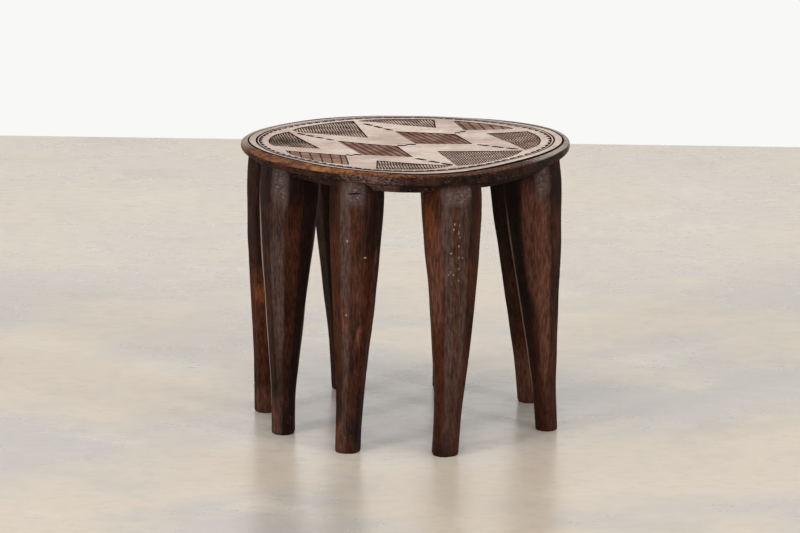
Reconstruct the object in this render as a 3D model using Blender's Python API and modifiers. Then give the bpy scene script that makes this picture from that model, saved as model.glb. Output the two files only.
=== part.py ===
"""Carved round stool: a dished seat with a relief-cut top on eight hewn legs.

Metres, +Z up. The origin is on the floor under the middle of the seat, +X runs
to the right and +Y to the back. Each leg ends in a round tenon, which stands in
a blind socket of the seat, and its shoulder is scribed to the seat's underside.
"""
import math

import bmesh
import bpy
import numpy as np

# Overall sizes
SEAT_DIAMETER = 0.420
STOOL_HEIGHT = 0.364            # floor to the middle of the seat's top
SEAT_THICKNESS = 0.034          # in the middle
SEAT_DISH = 0.0064              # rise of the left and right ends over the middle

# Seat rim
RIM_FALL = 0.0026               # drop of the top from the middle to the rim
RIM_DEPTH = 0.0110              # height of the rim's side
RIM_ROUNDING = 0.0026
RIM_STEPS = 3
RIM_SWAY = 0.0020               # rise and fall of the rim's lower edge
FALL_START_SHARE = 0.90
FALL_POWER = 1.5

# Rings and border on the top, as shares of the seat's radius
FIELD_RING_SHARES = (0.22, 0.42, 0.60, 0.74)
BORDER_BAND_SHARES = (0.838, 0.8805)
INNER_GROOVE_SHARE = 0.888
OUTER_GROOVE_SHARE = 0.950
RIM_RING_SHARE = 0.970
GROOVE_WIDTH = 0.0022
GROOVE_DEPTH = 0.0015
TOOTH_COUNT = 84
TOOTH_INNER_SHARE = 0.851
TOOTH_OUTER_SHARE = 0.8775
TOOTH_PITCH_SHARE = 0.74        # width of a tooth's base in its pitch
TOOTH_LEAN_SHARE = 0.18         # sideways lean of a tooth's tip in its pitch
TOOTH_DEPTH = 0.0014
TOOTH_TIP_SHARE = 0.12          # depth of a tooth's tip in the depth of its base

# Sunk panels: corners as shares of the seat's radius. The panels of the second
# table run out to the field's edge, from their first corner round to their last.
FIELD_EDGE_SHARE = 0.812
PANEL_DEPTH = 0.0013
INNER_PANEL_SHARES = (
    ((-0.418, 0.066), (-0.260, -0.373), (0.046, -0.433), (-0.051, -0.080)),
    ((-0.066, 0.411), (0.066, -0.007), (0.411, -0.044), (0.308, 0.308)),
)
EDGE_PANEL_SHARES = (
    ((0.308, 0.770), (0.367, 0.418), (0.675, 0.418)),
    ((-0.337, -0.697), (-0.359, -0.396), (-0.697, -0.308)),
    ((-0.785, -0.176), (-0.513, -0.205), (-0.719, 0.308)),
    ((-0.704, 0.352), (-0.660, 0.308), (-0.227, 0.183), (-0.323, 0.741)),
    ((-0.300, 0.730), (-0.190, 0.697), (0.191, 0.513), (0.183, 0.785)),
    ((0.763, 0.315), (0.499, 0.301), (0.726, -0.286)),
    ((0.711, -0.301), (0.191, -0.242), (0.308, -0.726)),
    ((0.279, -0.711), (-0.172, -0.543), (-0.172, -0.792)),
)
PANEL_ARC_STEP = math.radians(4.5)

# Underside: radius share, and share of the way from the rim's lower edge down
# to the full thickness. The step under the rim lies between the 3rd and 6th.
UNDERSIDE_SHARES = (
    (0.962, 0.02),
    (0.930, 0.06),
    (0.915, 0.22),
    (0.895, 0.50),
    (0.880, 0.62),
    (0.750, 0.77),
    (0.600, 0.88),
    (0.300, 0.97),
)

# Wander of the hand-cut plan, as shares of the radius. The rings are a little
# square, the rim has its own bumps: order of the wave, cosine and sine share.
RING_WANDER_SHARE = 0.018
RING_WANDER_TURN = math.radians(3.0)
RIM_WANDER_SHARES = (
    (2, 0.0010, -0.0030),
    (4, -0.0015, 0.0135),
    (6, 0.0028, -0.0062),
)
RIM_BLEND_SHARE = 0.93
SEAT_SEGMENTS = 84

# Legs
LEG_TOP_WIDTH = 0.074
LEG_FOOT_WIDTH = 0.031
LEG_INSET = 0.0080              # rim to the leg's outer face
FOOT_INSET = 0.028              # rim to the middle of a foot
FOOT_CHAMFER = 0.0015
LEG_BOW = 0.0040
LEG_APOTHEM_SHARE = 0.975       # flat distance in half the width
ARRIS_SHARE = 0.14              # softened end of each flat in its length
# Name, top and foot angle in degrees, then shares of the foot circle, the top
# width, the foot width and the bow, number of flats, and their turn in degrees.
LEG_TURNS_AND_SHARES = (
    ("leg_front_left", -111.2, -114.0, 0.986, 0.92, 1.04, 0.25, 9, 8.0),
    ("leg_front_right", -70.0, -74.6, 1.027, 1.02, 1.09, 1.30, 9, 21.0),
    ("leg_right_front", -13.8, -16.1, 1.037, 1.02, 0.925, 0.27, 10, 3.0),
    ("leg_right_rear", 31.4, 30.8, 1.044, 0.96, 0.975, 0.63, 9, 15.0),
    ("leg_rear_right", 71.0, 73.8, 1.016, 0.97, 0.98, -0.30, 9, 30.0),
    ("leg_rear_left", 122.6, 115.9, 1.035, 0.965, 1.00, 0.18, 10, 11.0),
    ("leg_left_rear", 175.5, 165.7, 1.025, 0.89, 1.05, 1.29, 9, 26.0),
    ("leg_left_front", -151.2, -155.3, 0.946, 1.02, 0.965, -1.16, 9, 17.0),
)
# Height share, and share of the way from the foot's width to the top's.
LEG_TAPER_SHARES = (
    (0.10, 0.02),
    (0.20, 0.08),
    (0.30, 0.21),
    (0.40, 0.36),
    (0.50, 0.50),
    (0.60, 0.65),
    (0.70, 0.80),
    (0.80, 0.91),
    (0.88, 0.98),
    (0.95, 1.00),
    (1.00, 0.96),
)
# Uneven flats: how far their directions and distances stray, and the turn
# between one flat's stray and the next's.
FLAT_TURN_WANDER = math.radians(5.0)
FLAT_WANDER_SHARE = 0.025
FLAT_TURN_STEP = math.radians(137.0)
FLAT_REACH_STEP = math.radians(178.0)

# Joint between leg and seat
TENON_RADIUS = 0.015
TENON_ROOT = 0.020              # how far the tenon's core reaches into the leg
TENON_SEGMENTS = 24
SOCKET_COVER = 0.012            # wood left over the socket
SOCKET_SEGMENTS = 32
JOINT_GAP = 0.0003
CUT_OVERRUN = 0.004
WELD_DISTANCE = 0.00001

SEAT_RADIUS = SEAT_DIAMETER / 2
FOOT_CIRCLE_RADIUS = SEAT_RADIUS - FOOT_INSET
RIM_BOTTOM = RIM_FALL + RIM_DEPTH
SMOOTH_ANGLE = math.radians(28.0)
SEAT_COLOR = (0.30, 0.21, 0.16)
SEAT_ROUGHNESS = 0.55
LEG_COLOR = (0.060, 0.032, 0.024)
LEG_ROUGHNESS = 0.45


def new_collection(name):
    collection = bpy.data.collections.new(name)
    bpy.context.scene.collection.children.link(collection)
    return collection


def wood_material(name, color, roughness):
    material = bpy.data.materials.new(name)
    material.use_nodes = True
    shader = material.node_tree.nodes["Principled BSDF"]
    shader.inputs["Base Color"].default_value = (*color, 1.0)
    shader.inputs["Roughness"].default_value = roughness
    shader.inputs["Metallic"].default_value = 0.0
    return material


def add_object(name, data, collection, location=(0.0, 0.0, 0.0)):
    item = bpy.data.objects.new(name, data)
    item.location = location
    collection.objects.link(item)
    return item


def hide_as_cutter(item):
    item.hide_render = True
    item.display_type = "WIRE"


def add_boolean(item, operation, other):
    modifier = item.modifiers.new(operation.lower() + "_" + other.name, "BOOLEAN")
    modifier.operation = operation
    modifier.solver = "EXACT"
    modifier.object = other


def evaluated_mesh(item, name):
    """Return the item's mesh after its modifiers, and remove the item."""
    bpy.context.view_layer.update()
    graph = bpy.context.evaluated_depsgraph_get()
    mesh = bpy.data.meshes.new_from_object(item.evaluated_get(graph))
    mesh.name = name
    bpy.data.objects.remove(item)
    return mesh


def close_up(mesh):
    """Weld loose caps to their walls and turn every face outwards."""
    body = bmesh.new()
    body.from_mesh(mesh)
    bmesh.ops.remove_doubles(body, verts=body.verts, dist=WELD_DISTANCE)
    bmesh.ops.recalc_face_normals(body, faces=body.faces)
    body.to_mesh(mesh)
    body.free()


def wander(share, angle):
    """Share by which the hand-cut plan grows at a radius share and an angle."""
    ring = RING_WANDER_SHARE * math.cos(4 * (angle - RING_WANDER_TURN))
    rim = 0.0
    for order, cosine, sine in RIM_WANDER_SHARES:
        rim += cosine * math.cos(order * angle) + sine * math.sin(order * angle)
    blend = (share - RIM_BLEND_SHARE) / (1.0 - RIM_BLEND_SHARE)
    return ring + (rim - ring) * min(max(blend, 0.0), 1.0)


def carve_shape(mesh):
    """Move a turned mesh to the seat's hand-cut plan, dish and swaying rim."""
    for vertex in mesh.vertices:
        x, y, z = vertex.co
        share = math.hypot(x, y) / SEAT_RADIUS
        angle = math.atan2(y, x)
        growth = 1.0 + wander(share, angle)
        rise = SEAT_DISH * (x * growth / SEAT_RADIUS) ** 2
        down = (-z - RIM_FALL - RIM_ROUNDING) / (RIM_DEPTH - 2 * RIM_ROUNDING)
        sway = RIM_SWAY * min(max(down, 0.0), 1.0) * share ** 2
        vertex.co = (x * growth, y * growth, z + rise + sway * math.sin(2 * angle))
    mesh.update()


def top_fall(share):
    """Drop of the seat's top at a share of its radius."""
    run = max(0.0, share - FALL_START_SHARE) / (1.0 - FALL_START_SHARE)
    return RIM_FALL * run ** FALL_POWER


def groove_points(share):
    """Three points of a V groove centred at a share of the radius."""
    radius = share * SEAT_RADIUS
    drop = top_fall(share)
    half = GROOVE_WIDTH / 2
    return [(radius - half, -drop), (radius, -drop - GROOVE_DEPTH), (radius + half, -drop)]


def rim_points():
    """The rim's side, with its upper and lower edges rounded by quarter arcs."""
    centre = SEAT_RADIUS - RIM_ROUNDING
    points = []
    for height, start in ((-RIM_FALL - RIM_ROUNDING, 90.0), (RIM_ROUNDING - RIM_BOTTOM, 0.0)):
        for step in range(RIM_STEPS + 1):
            turn = math.radians(start - 90.0 * step / RIM_STEPS)
            x = centre + RIM_ROUNDING * math.cos(turn)
            points.append((x, height + RIM_ROUNDING * math.sin(turn)))
    return points


def underside_points():
    """From just inside the rim's lower edge in to the middle."""
    depth = SEAT_THICKNESS - RIM_BOTTOM
    points = []
    for share, down in UNDERSIDE_SHARES:
        points.append((share * SEAT_RADIUS, -RIM_BOTTOM - down * depth))
    points.append((0.0, -SEAT_THICKNESS))
    return points


def seat_profile():
    """The seat's section from the middle of its top round to its underside."""
    points = [(0.0, 0.0)]
    for share in FIELD_RING_SHARES + BORDER_BAND_SHARES:
        points.append((share * SEAT_RADIUS, -top_fall(share)))
    points += groove_points(INNER_GROOVE_SHARE)
    points += groove_points(OUTER_GROOVE_SHARE)
    points.append((RIM_RING_SHARE * SEAT_RADIUS, -top_fall(RIM_RING_SHARE)))
    return points + rim_points() + underside_points()


def scribed_profile(gap):
    """The seat's underside moved outwards by a gap, closed over the rim."""
    line = np.array(rim_points()[-1:] + underside_points())
    along = np.diff(line, axis=0)
    along /= np.linalg.norm(along, axis=1)[:, None]
    normals = np.stack((-along[:, 1], along[:, 0]), axis=1)
    joined = np.vstack((normals[:1], (normals[:-1] + normals[1:]) / 2, normals[-1:]))
    joined /= np.sum(joined * joined, axis=1)[:, None]
    moved = line + joined * gap
    moved[0, 0] = SEAT_RADIUS + gap
    moved[-1, 0] = 0.0
    return [(0.0, 0.0), (SEAT_RADIUS + gap, 0.0)] + [tuple(point) for point in moved]


def turned_mesh(name, profile):
    """Turn a profile once about Z and cut it to the seat's hand-made plan."""
    mesh = bpy.data.meshes.new(name)
    vertices = [(x, 0.0, z) for x, z in profile]
    edges = [(index, index + 1) for index in range(len(profile) - 1)]
    mesh.from_pydata(vertices, edges, [])
    item = add_object(name, mesh, bpy.context.scene.collection)
    screw = item.modifiers.new("turn", "SCREW")
    screw.steps = SEAT_SEGMENTS
    screw.render_steps = SEAT_SEGMENTS
    screw.use_merge_vertices = True
    screw.merge_threshold = WELD_DISTANCE
    turned = evaluated_mesh(item, name)
    carve_shape(turned)
    return turned


def arc_outline(corners):
    """Panel outline: its corners, then the field's edge from last to first."""
    start = math.atan2(corners[-1][1], corners[-1][0])
    end = math.atan2(corners[0][1], corners[0][0])
    sweep = (end - start) % (2 * math.pi)
    steps = max(1, round(sweep / PANEL_ARC_STEP))
    outline = [(x * SEAT_RADIUS, y * SEAT_RADIUS) for x, y in corners[1:-1]]
    for step in range(steps + 1):
        angle = start + sweep * step / steps
        radius = FIELD_EDGE_SHARE * SEAT_RADIUS
        outline.append((radius * math.cos(angle), radius * math.sin(angle)))
    return outline


def panel_outlines():
    outlines = []
    for corners in INNER_PANEL_SHARES:
        outlines.append([(x * SEAT_RADIUS, y * SEAT_RADIUS) for x, y in corners])
    for corners in EDGE_PANEL_SHARES:
        outlines.append(arc_outline(corners))
    return outlines


def tooth_outlines():
    """One triangle for each notch of the border: two base corners and a tip."""
    pitch = 2 * math.pi / TOOTH_COUNT
    inner = TOOTH_INNER_SHARE * SEAT_RADIUS
    outer = TOOTH_OUTER_SHARE * SEAT_RADIUS
    outlines = []
    for index in range(TOOTH_COUNT):
        middle = pitch * (index + 0.5)
        places = (
            (outer, middle - pitch * TOOTH_PITCH_SHARE / 2),
            (outer, middle + pitch * TOOTH_PITCH_SHARE / 2),
            (inner, middle + pitch * TOOTH_LEAN_SHARE),
        )
        outlines.append([(r * math.cos(a), r * math.sin(a)) for r, a in places])
    return outlines


def flat_cutter(name, outlines, depth, collection):
    """Prisms over closed outlines, from a depth in the top to above it."""
    half = (depth + CUT_OVERRUN) / 2
    curve = bpy.data.curves.new(name, "CURVE")
    curve.dimensions = "2D"
    curve.fill_mode = "BOTH"
    curve.extrude = half
    for outline in outlines:
        spline = curve.splines.new("POLY")
        spline.points.add(len(outline) - 1)
        spline.use_cyclic_u = True
        for point, (x, y) in zip(spline.points, outline):
            point.co = (x, y, 0.0, 1.0)
    mesh = evaluated_mesh(add_object(name, curve, collection), name)
    bpy.data.curves.remove(curve)
    for vertex in mesh.vertices:
        vertex.co.z += CUT_OVERRUN - half
    close_up(mesh)
    return mesh


def slope_tooth_floors(mesh):
    """Raise each notch's floor from its base to nothing but a nick at its tip."""
    inner = TOOTH_INNER_SHARE * SEAT_RADIUS
    run = TOOTH_OUTER_SHARE * SEAT_RADIUS - inner
    for vertex in mesh.vertices:
        if vertex.co.z < 0.0:
            share = (vertex.co.xy.length - inner) / run
            vertex.co.z = -TOOTH_DEPTH * (TOOTH_TIP_SHARE + (1.0 - TOOTH_TIP_SHARE) * share)


def top_centre(angle, width_share):
    """Plan position of a leg's middle where it meets the seat."""
    radius = SEAT_RADIUS - LEG_INSET - LEG_TOP_WIDTH * width_share / 2
    return radius * math.cos(angle), radius * math.sin(angle)


def post_mesh(name, radius, segments, low, high):
    """Upright cylinder of a radius between two heights."""
    body = bmesh.new()
    bmesh.ops.create_cone(
        body, cap_ends=True, segments=segments,
        radius1=radius, radius2=radius, depth=high - low)
    bmesh.ops.translate(body, verts=body.verts, vec=(0.0, 0.0, (low + high) / 2))
    mesh = bpy.data.meshes.new(name)
    body.to_mesh(mesh)
    body.free()
    return mesh


def build_seat(parts, cutters):
    place = (0.0, 0.0, STOOL_HEIGHT)
    seat = add_object("seat", turned_mesh("seat", seat_profile()), parts, place)
    seat.data.materials.append(wood_material("seat_wood", SEAT_COLOR, SEAT_ROUGHNESS))

    panels = flat_cutter("panel_cutter", panel_outlines(), PANEL_DEPTH, cutters)
    teeth = flat_cutter("tooth_cutter", tooth_outlines(), TOOTH_DEPTH, cutters)
    slope_tooth_floors(teeth)
    for mesh in (panels, teeth):
        carve_shape(mesh)
        cutter = add_object(mesh.name, mesh, cutters, place)
        hide_as_cutter(cutter)
        add_boolean(seat, "DIFFERENCE", cutter)

    high = STOOL_HEIGHT - SOCKET_COVER
    low = STOOL_HEIGHT - SEAT_THICKNESS - CUT_OVERRUN
    radius = (TENON_RADIUS + JOINT_GAP) / math.cos(math.pi / SOCKET_SEGMENTS)
    socket = post_mesh("socket_cutter", radius, SOCKET_SEGMENTS, low, high)
    for name, top_angle, _, _, width_share, _, _, _, _ in LEG_TURNS_AND_SHARES:
        x, y = top_centre(math.radians(top_angle), width_share)
        cutter = add_object("socket_" + name, socket, cutters, (x, y, 0.0))
        hide_as_cutter(cutter)
        add_boolean(seat, "DIFFERENCE", cutter)

    seat.data.shade_smooth()
    seat.data.set_sharp_from_angle(angle=SMOOTH_ANGLE)
    return seat


def flat_lines(flats, turn):
    """Direction and distance share of each hewn flat round a leg."""
    lines = []
    for index in range(flats):
        sway = math.sin(FLAT_TURN_STEP * index + turn)
        angle = turn + 2 * math.pi * index / flats + FLAT_TURN_WANDER * sway
        stray = math.cos(FLAT_REACH_STEP * index + turn)
        reach = LEG_APOTHEM_SHARE + FLAT_WANDER_SHARE * stray
        lines.append((angle, reach))
    return lines


def section_shares(flats, turn):
    """Leg section for a half width of 1: where flats meet, with soft arrises."""
    lines = flat_lines(flats, turn)
    corners = []
    for index, (angle, reach) in enumerate(lines):
        next_angle, next_reach = lines[(index + 1) % flats]
        system = np.array(((math.cos(angle), math.sin(angle)),
                           (math.cos(next_angle), math.sin(next_angle))))
        corners.append(np.linalg.solve(system, (reach, next_reach)))
    points = []
    for index, corner in enumerate(corners):
        before = corners[index - 1]
        after = corners[(index + 1) % flats]
        points.append(corner + (before - corner) * ARRIS_SHARE)
        points.append(corner + (after - corner) * ARRIS_SHARE)
    return np.array(points)


def leg_rings(section, leg, top_offset):
    """Rings of the leg's loft from the floor up, in the leg's own axes."""
    _, _, _, _, width_share, foot_share, bow_share, _, _ = leg
    foot_half = LEG_FOOT_WIDTH * foot_share / 2
    top_half = LEG_TOP_WIDTH * width_share / 2
    full_height = STOOL_HEIGHT - RIM_BOTTOM
    levels = [(0.0, foot_half - FOOT_CHAMFER), (FOOT_CHAMFER, foot_half)]
    for height_share, taper in LEG_TAPER_SHARES:
        levels.append((full_height * height_share, foot_half + (top_half - foot_half) * taper))
    levels.append((STOOL_HEIGHT - RIM_BOTTOM / 2, levels[-1][1]))
    rings = []
    for height, half in levels:
        way = min(height / full_height, 1.0)
        bow = 4 * LEG_BOW * bow_share * way * (1.0 - way)
        centre = np.array((top_offset[0] * way, top_offset[1] * way + bow))
        plan = centre + section * half
        rings.append([(x, y, height) for x, y in plan])
    return rings


def loft_mesh(name, rings):
    """Skin a stack of equal rings and cap both ends."""
    body = bmesh.new()
    rows = [[body.verts.new(point) for point in ring] for ring in rings]
    count = len(rows[0])
    for lower, upper in zip(rows, rows[1:]):
        for index in range(count):
            after = (index + 1) % count
            body.faces.new((lower[index], lower[after], upper[after], upper[index]))
    body.faces.new(rows[0][::-1])
    body.faces.new(rows[-1])
    bmesh.ops.recalc_face_normals(body, faces=body.faces)
    mesh = bpy.data.meshes.new(name)
    body.to_mesh(mesh)
    body.free()
    return mesh


def build_leg(leg, scribe, parts, cutters):
    name, top_angle, foot_angle, circle_share, width_share, _, _, flats, turn = leg
    foot_turn = math.radians(foot_angle)
    circle = FOOT_CIRCLE_RADIUS * circle_share
    foot = (circle * math.cos(foot_turn), circle * math.sin(foot_turn), 0.0)
    top = top_centre(math.radians(top_angle), width_share)
    across = (top[0] - foot[0], top[1] - foot[1])
    outward = across[0] * math.cos(foot_turn) + across[1] * math.sin(foot_turn)
    sideways = across[1] * math.cos(foot_turn) - across[0] * math.sin(foot_turn)

    section = section_shares(flats, math.radians(turn))
    mesh = loft_mesh(name, leg_rings(section, leg, (outward, sideways)))
    item = add_object(name, mesh, parts, foot)
    item.rotation_euler = (0.0, 0.0, foot_turn)
    mesh.materials.append(wood_material(name + "_wood", LEG_COLOR, LEG_ROUGHNESS))
    add_boolean(item, "DIFFERENCE", scribe)

    low = STOOL_HEIGHT - SEAT_THICKNESS - TENON_ROOT
    high = STOOL_HEIGHT - SOCKET_COVER - JOINT_GAP
    post = post_mesh("tenon_" + name, TENON_RADIUS, TENON_SEGMENTS, low, high)
    tenon = add_object("tenon_" + name, post, cutters, (top[0], top[1], 0.0))
    hide_as_cutter(tenon)
    add_boolean(item, "UNION", tenon)
    return item


def build_stool():
    for item in list(bpy.data.objects):
        bpy.data.objects.remove(item)
    parts = new_collection("carved_stool")
    cutters = new_collection("cutters")

    pieces = [build_seat(parts, cutters)]
    scribe_mesh = turned_mesh("scribe_cutter", scribed_profile(JOINT_GAP))
    scribe = add_object("scribe_cutter", scribe_mesh, cutters, (0.0, 0.0, STOOL_HEIGHT))
    hide_as_cutter(scribe)
    for leg in LEG_TURNS_AND_SHARES:
        pieces.append(build_leg(leg, scribe, parts, cutters))

    floor_point = add_object("stool_floor_point", None, parts)
    for piece in pieces:
        piece.parent = floor_point


build_stool()
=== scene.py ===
"""Looks of the carved round stool: its relief-cut seat and eight hewn legs.

Metres, +Z up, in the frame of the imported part. The origin is on the floor under
the middle of the seat, +X runs to the right and +Y to the back.
"""
import math

import bmesh
import bpy
import numpy as np
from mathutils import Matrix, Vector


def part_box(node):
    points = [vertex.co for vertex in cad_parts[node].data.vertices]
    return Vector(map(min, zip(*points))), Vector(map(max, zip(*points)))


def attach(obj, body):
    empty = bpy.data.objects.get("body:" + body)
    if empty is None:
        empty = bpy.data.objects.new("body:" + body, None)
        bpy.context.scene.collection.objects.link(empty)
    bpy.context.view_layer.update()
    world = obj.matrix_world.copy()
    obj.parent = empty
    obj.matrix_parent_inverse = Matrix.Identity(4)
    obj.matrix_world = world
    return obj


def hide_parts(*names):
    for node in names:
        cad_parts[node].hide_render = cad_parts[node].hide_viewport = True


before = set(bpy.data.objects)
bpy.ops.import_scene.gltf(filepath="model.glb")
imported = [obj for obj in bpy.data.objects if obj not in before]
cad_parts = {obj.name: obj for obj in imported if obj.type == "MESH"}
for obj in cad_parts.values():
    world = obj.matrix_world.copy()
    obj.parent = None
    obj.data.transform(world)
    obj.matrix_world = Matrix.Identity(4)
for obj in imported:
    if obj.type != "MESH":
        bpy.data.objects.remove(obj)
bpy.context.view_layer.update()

# Seat sizes, as the solid has them
SEAT_RADIUS = 0.210
SEAT_THICKNESS = 0.034
TOP_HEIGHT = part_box("seat")[0].z + SEAT_THICKNESS
SEAT_DISH = 0.0064
RIM_FALL = 0.0026
RIM_DEPTH = 0.0110
RIM_ROUNDING = 0.0026
RIM_SWAY = 0.0020
# Lifts of the rim's lower edge at the left and right ends: direction in degrees, lift
RIM_LIFTS = ((180.0, 0.0034), (0.0, 0.0018))
RIM_LIFT_SHARES = (0.86, 0.96)
RIM_BOTTOM = RIM_FALL + RIM_DEPTH
FALL_START_SHARE = 0.90
FALL_POWER = 1.5
# Turned underside: share of the radius, share of the way from the rim's bottom to the lowest face
UNDERSIDE_SHARES = (
    (0.300, 0.97), (0.600, 0.88), (0.750, 0.77), (0.880, 0.62), (0.895, 0.50),
    (0.915, 0.22), (0.930, 0.06), (0.962, 0.02), (1.000, 0.00),
)
JOINT_GAP = 0.0003

# Wander of the hand-cut plan, in shares of the radius
RING_WANDER_SHARE = 0.018
RING_WANDER_TURN = math.radians(3.0)
RING_WANDER_RUN_SHARES = (0.45, 0.80)
# Waves of the rim: how many round it, cosine share, sine share
RIM_WANDER_SHARES = ((2, 0.0010, -0.0030), (4, -0.0015, 0.0135), (6, 0.0028, -0.0062))
RIM_BLEND_SHARE = 0.93
TOP_WAVE = 0.00025
TOP_WAVE_CELL = 0.034

# Border: sawtooth notches between the light bands, and the two grooves
FIELD_EDGE_SHARE = 0.812
FIELD_BULGE_SHARE = 0.010
TOOTH_SHARES = (0.857, 0.8785)
TOOTH_FRONT_REACH_SHARE = 0.012
TOOTH_COUNT = 84
TOOTH_CROWDING = 1.2
TOOTH_COLUMNS = 14
TOOTH_DEPTH = 0.0018
TOOTH_SPAN_SHARES = (-0.06, 1.06)
TOOTH_TIP_SHARES = (0.42, 0.80)
TOOTH_TIP_GROWTHS = (-0.27, 0.06)
TOOTH_STRAY_SHARE = 0.05
CUT_SOFTNESS = 0.0003
INNER_GROOVE_SHARE = 0.8925
INNER_GROOVE_HALF = 0.0013
OUTER_GROOVE_SHARE = 0.950
OUTER_GROOVE_HALF = 0.0020
GROOVE_DEPTH = 0.0021
# Where the rings stray inwards: direction and half width in degrees, share of the radius
TOOTH_STRAYS = ((236.0, 34.0, 0.024), (313.0, 20.0, 0.018))
INNER_GROOVE_STRAYS = TOOTH_STRAYS + ((268.0, 60.0, 0.005),)
OUTER_GROOVE_STRAYS = ((224.0, 33.0, 0.047), (258.0, 16.0, 0.028), (318.0, 24.0, 0.014))

# Field: light straps over sunk panels
STRAP_THICKNESS = 0.0013
STRAP_SINK = 0.00003
STRAP_EDGE = 0.00025
STRAP_LATTICE = 0.008
STRAP_SIDES = 180
FLOOR_DEPTH = 0.0016
# Where the field's edge bulges: direction and half width in degrees
FIELD_BULGE_DIRECTION = (205.0, 40.0)

# Rows of the seat board, from the sunk floor over the rim to the underside
FLOOR_ROW_SHARES = (0.08, 0.20, 0.32, 0.44, 0.56, 0.66, 0.74, 0.79)
# Steps up from the floor to the inner band: distance past the field's edge, height
FIELD_STEPS = ((0.0, -STRAP_THICKNESS), (0.0001, -0.0003), (0.00025, -0.00008), (0.00045, 0.0))
# Ways across the bands, the notches, the grooves and the flats between them
BAND_WAYS = (0.25, 0.5, 0.75)
TOOTH_WAYS = np.linspace(-0.02, 1.02, 12)
GROOVE_WAYS = (-1.12, -0.98, -0.75, -0.3, 0.3, 0.75, 0.98, 1.12)
TOP_WAYS = (0.2, 0.4, 0.6, 0.8)
UNDERSIDE_ROW_SHARES = (
    0.975, 0.962, 0.946, 0.930, 0.915, 0.905, 0.895, 0.880,
    0.82, 0.75, 0.68, 0.60, 0.50, 0.40, 0.30, 0.15,
)
RIM_FLAT_SHARE = 0.0016
RIM_DENT_SHARE = 0.0050
UNDERSIDE_ROUGHNESS = 0.0006


def smooth(value, low, high):
    """Smooth step: t squared times three less twice t, with t the way from low to high, kept from 0 to 1."""
    t = np.clip((value - low) / (high - low), 0.0, 1.0)
    return t * t * (3.0 - 2.0 * t)


def lumps(places, cell, seed):
    """Soft lumps from -1 to 1: seeded values on a cubic lattice, blended by the smooth step on each axis."""
    size = 32
    table = np.random.default_rng(seed).uniform(-1.0, 1.0, (size, size, size))
    scaled = np.asarray(places) / np.asarray(cell)
    corner = np.floor(scaled).astype(int)
    way = smooth(scaled - corner, 0.0, 1.0)
    total = np.zeros(scaled.shape[:-1])
    for step in np.ndindex(2, 2, 2):
        index = (corner + step) % size
        weight = np.prod(np.where(step, way, 1.0 - way), axis=-1)
        total += weight * table[index[..., 0], index[..., 1], index[..., 2]]
    return total


def flat_lumps(x, y, cell, seed):
    """Soft lumps over a plane, read from the cubic lattice at a fixed level."""
    return lumps(np.stack((x, y, np.full_like(x, cell / 2)), axis=-1), cell, seed)


def wander(share, angle):
    """Growth of the plan: a wave of four on the rings, and waves of two, four and six at the rim."""
    run = smooth(share, *RING_WANDER_RUN_SHARES)
    ring = RING_WANDER_SHARE * np.cos(4 * (angle - RING_WANDER_TURN)) * run
    rim = sum(cosine * np.cos(order * angle) + sine * np.sin(order * angle)
              for order, cosine, sine in RIM_WANDER_SHARES)
    blend = np.clip((share - RIM_BLEND_SHARE) / (1.0 - RIM_BLEND_SHARE), 0.0, 1.0)
    return ring + (rim - ring) * blend


def edge_rise(share, angle):
    """Rise of the rim's lower edge: a sway of two waves, and a lift at the left and right ends."""
    rise = RIM_SWAY * share ** 2 * np.sin(2 * angle)
    for direction, lift in RIM_LIFTS:
        nearness = np.maximum(0.0, np.cos(angle - math.radians(direction))) ** 6
        rise = rise + lift * nearness * smooth(share, *RIM_LIFT_SHARES)
    return rise


def on_seat(x, y, height):
    """Carry a point of the plain round board to the hand-cut one.

    The plan grows by the wander. The height gains the dish, a square of x, a
    slight wave from the tool, and towards the rim's lower edge that edge's rise.
    """
    share = np.hypot(x, y) / SEAT_RADIUS
    angle = np.arctan2(y, x)
    growth = 1.0 + wander(share, angle)
    rise = SEAT_DISH * (x * growth / SEAT_RADIUS) ** 2
    wave = TOP_WAVE * (flat_lumps(x, y, TOP_WAVE_CELL, 5) - 1.0)
    down = np.clip((-height - RIM_FALL - RIM_ROUNDING) / (RIM_DEPTH - 2 * RIM_ROUNDING), 0.0, 1.0)
    sway = down * edge_rise(share, angle)
    return np.stack((x * growth, y * growth, TOP_HEIGHT + height + rise + wave + sway), axis=-1)


def top_fall(share):
    """Drop of the top towards the rim: a power of the way from where the fall starts."""
    run = np.clip((share - FALL_START_SHARE) / (1.0 - FALL_START_SHARE), 0.0, 1.0)
    return RIM_FALL * run ** FALL_POWER


def underside_drop(share):
    """Drop from the top to the underside: the turned profile read at a share of the radius."""
    shares, ways = np.array(UNDERSIDE_SHARES).T
    return RIM_BOTTOM + np.interp(share, shares, ways, left=1.0) * (SEAT_THICKNESS - RIM_BOTTOM)


def underside_height(x, y):
    """Height of the seat's underside over a point: its turned profile, dished and swayed."""
    share = np.hypot(x, y) / SEAT_RADIUS
    angle = np.arctan2(y, x)
    plain = share / (1.0 + wander(share, angle))
    rise = SEAT_DISH * (x / SEAT_RADIUS) ** 2 + edge_rise(plain, angle)
    return TOP_HEIGHT - underside_drop(plain) + rise


def new_mesh(name, points, faces):
    """Closed mesh whose faces point outwards."""
    mesh = bpy.data.meshes.new(name)
    mesh.from_pydata(points.tolist(), [], faces)
    mesh.validate()
    body = bmesh.new()
    body.from_mesh(mesh)
    bmesh.ops.recalc_face_normals(body, faces=body.faces)
    body.to_mesh(mesh)
    body.free()
    return mesh


def mark(mesh, name, values):
    """Store one number for each vertex, which a finish reads by its name."""
    layer = mesh.attributes.new(name, "FLOAT", "POINT")
    layer.data.foreach_set("value", np.asarray(values, dtype=np.float32).ravel())


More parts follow.
